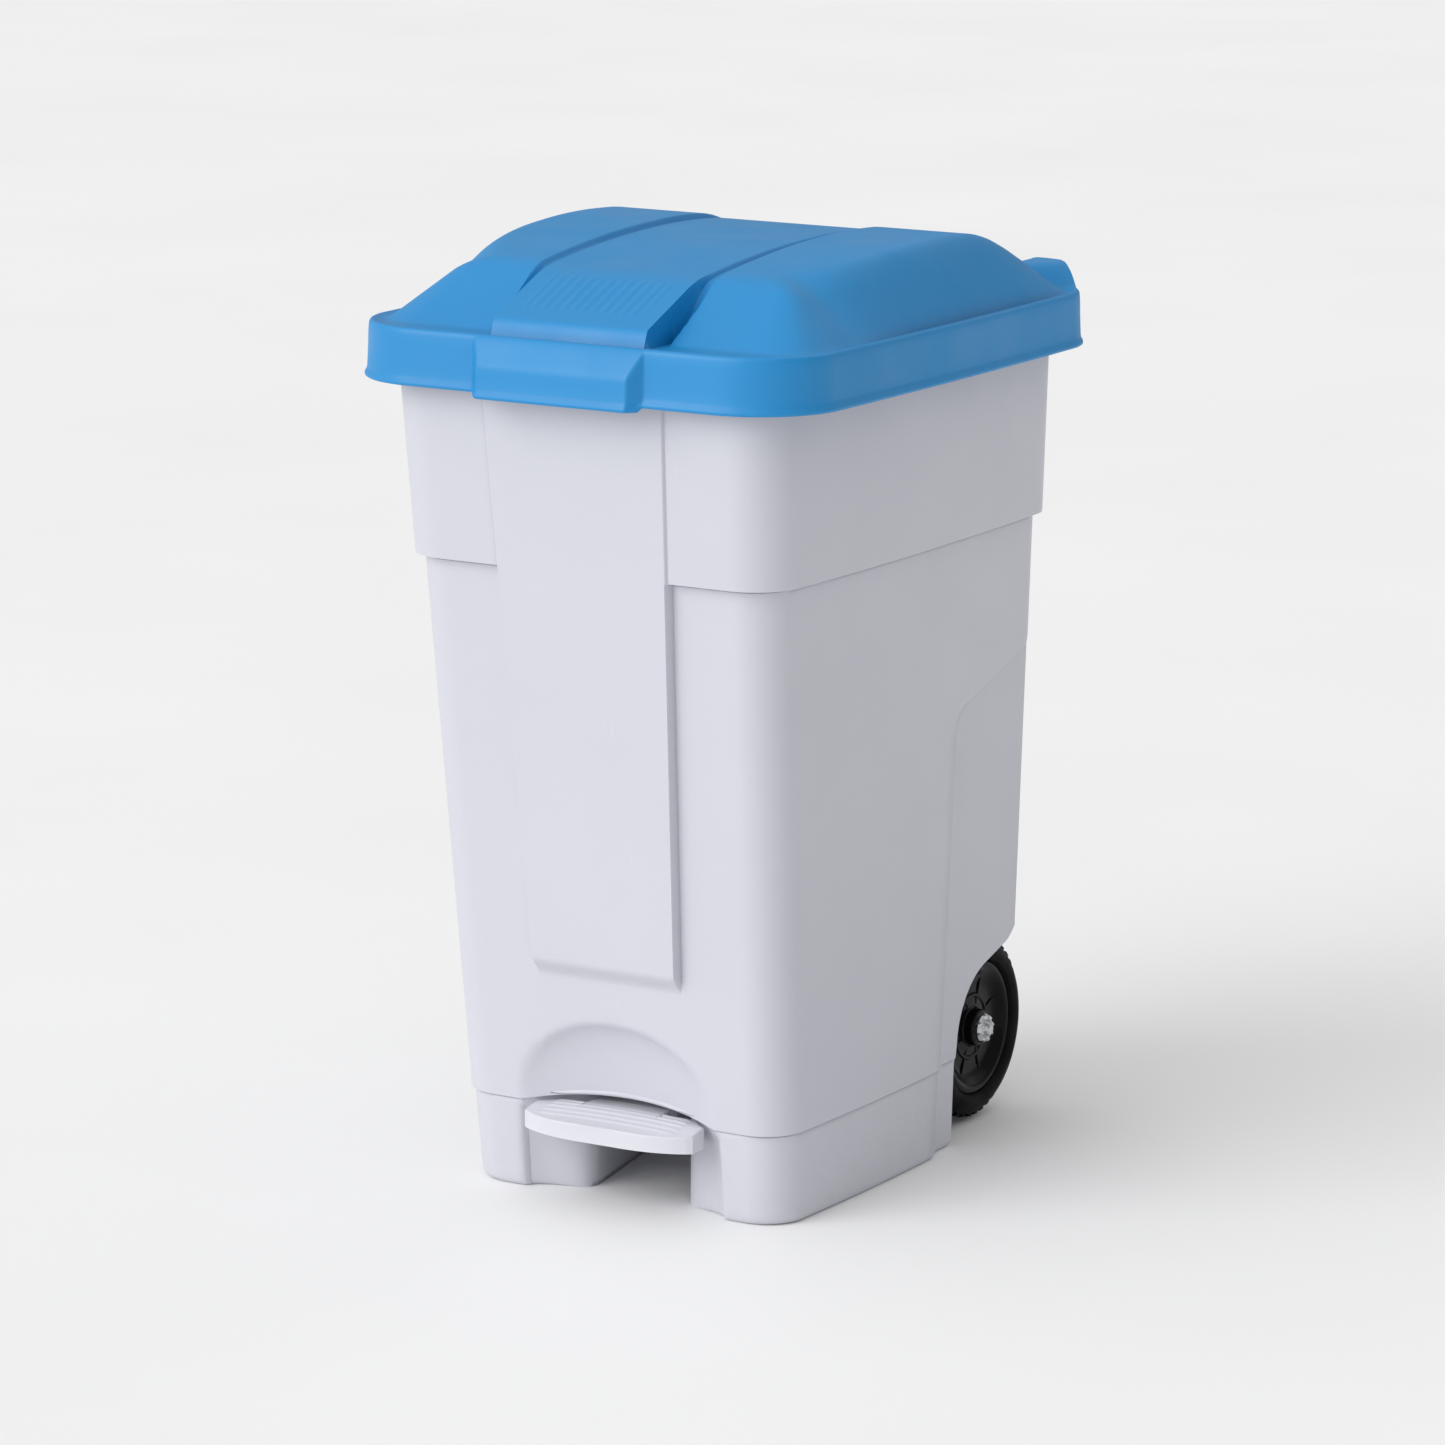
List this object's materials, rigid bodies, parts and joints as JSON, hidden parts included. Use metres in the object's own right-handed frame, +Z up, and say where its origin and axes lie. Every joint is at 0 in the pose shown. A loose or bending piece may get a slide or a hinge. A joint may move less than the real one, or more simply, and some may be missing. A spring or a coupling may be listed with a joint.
{
  "type": "pedal wheelie bin",
  "caption": "Upright tapered bin with a domed hinged lid, a foot pedal that lifts the lid through a lever and push rod, and rear wheels on one axle.",
  "frame": {"origin": "floor level under the middle of the bin's outline", "axes": "+X to the bin's own left-right side, +Y to its back, +Z up"},
  "size_m": [0.412, 0.544, 0.75],
  "materials": {
    "white_plastic": "moulded polypropylene, fine satin grain",
    "blue_plastic": "moulded polypropylene, satin",
    "black_plastic": "moulded polypropylene, smooth",
    "tyre_rubber": "moulded rubber",
    "zinc_steel": "zinc plated"
  },
  "bodies": {
    "tub": {"body_shell": "white_plastic", "rear_handle_tube": "black_plastic", "pedal_pivot_pin": "zinc_steel", "pivot_clip_left": "zinc_steel", "pivot_clip_right": "zinc_steel", "axle": "zinc_steel", "axle_cap_left": "zinc_steel", "axle_cap_right": "zinc_steel", "axle_spacer_left": "black_plastic", "axle_spacer_right": "black_plastic", "rod_guide_lower": "white_plastic", "rod_guide_upper": "white_plastic", "guide_screw_lower_left": "zinc_steel", "guide_screw_lower_right": "zinc_steel", "guide_screw_upper_left": "zinc_steel", "guide_screw_upper_right": "zinc_steel", "lid_hinge_pin_left": "zinc_steel", "lid_hinge_pin_right": "zinc_steel"},
    "lid": {"lid_shell": "blue_plastic", "lid_lever": "zinc_steel", "lid_lever_pin": "zinc_steel", "lever_screw_left": "zinc_steel", "lever_screw_right": "zinc_steel"},
    "pedal": {"pedal_pad": "white_plastic", "pedal_lever": "zinc_steel", "pedal_screw_1": "zinc_steel", "pedal_screw_2": "zinc_steel", "rod_eye_pin": "zinc_steel"},
    "rod": {"push_rod": "zinc_steel", "rod_yoke": "zinc_steel", "rod_eye": "zinc_steel"},
    "wheel_left": {"wheel_rim_left": "black_plastic", "tyre_left": "tyre_rubber"},
    "wheel_right": {"wheel_rim_right": "black_plastic", "tyre_right": "tyre_rubber"}
  },
  "joints": [
    {"name": "lid_hinge", "type": "hinge", "parent": "tub", "child": "lid", "pos_m": [0, 0.236, 0.691], "axis": [-1, 0, 0], "range_deg": [0, 80]},
    {"name": "rod_slide", "type": "slide", "parent": "tub", "child": "rod", "axis": [0, 0, 1], "range_m": [0, 0.0346]},
    {"name": "pedal_pivot", "type": "hinge", "parent": "tub", "child": "pedal", "pos_m": [0, 0.018, 0.05], "axis": [1, 0, 0], "range_deg": [0, 10.1]},
    {"name": "wheel_left_spin", "type": "hinge", "parent": "tub", "child": "wheel_left", "pos_m": [-0.108, 0.197, 0.078], "axis": [1, 0, 0], "continuous": true},
    {"name": "wheel_right_spin", "type": "hinge", "parent": "tub", "child": "wheel_right", "pos_m": [0.108, 0.197, 0.078], "axis": [1, 0, 0], "continuous": true}
  ],
  "couplings": [
    {"joint": "rod_slide", "follows": "lid_hinge", "m_per_rad": 0.02453},
    {"joint": "pedal_pivot", "follows": "lid_hinge", "ratio": 0.125}
  ]
}
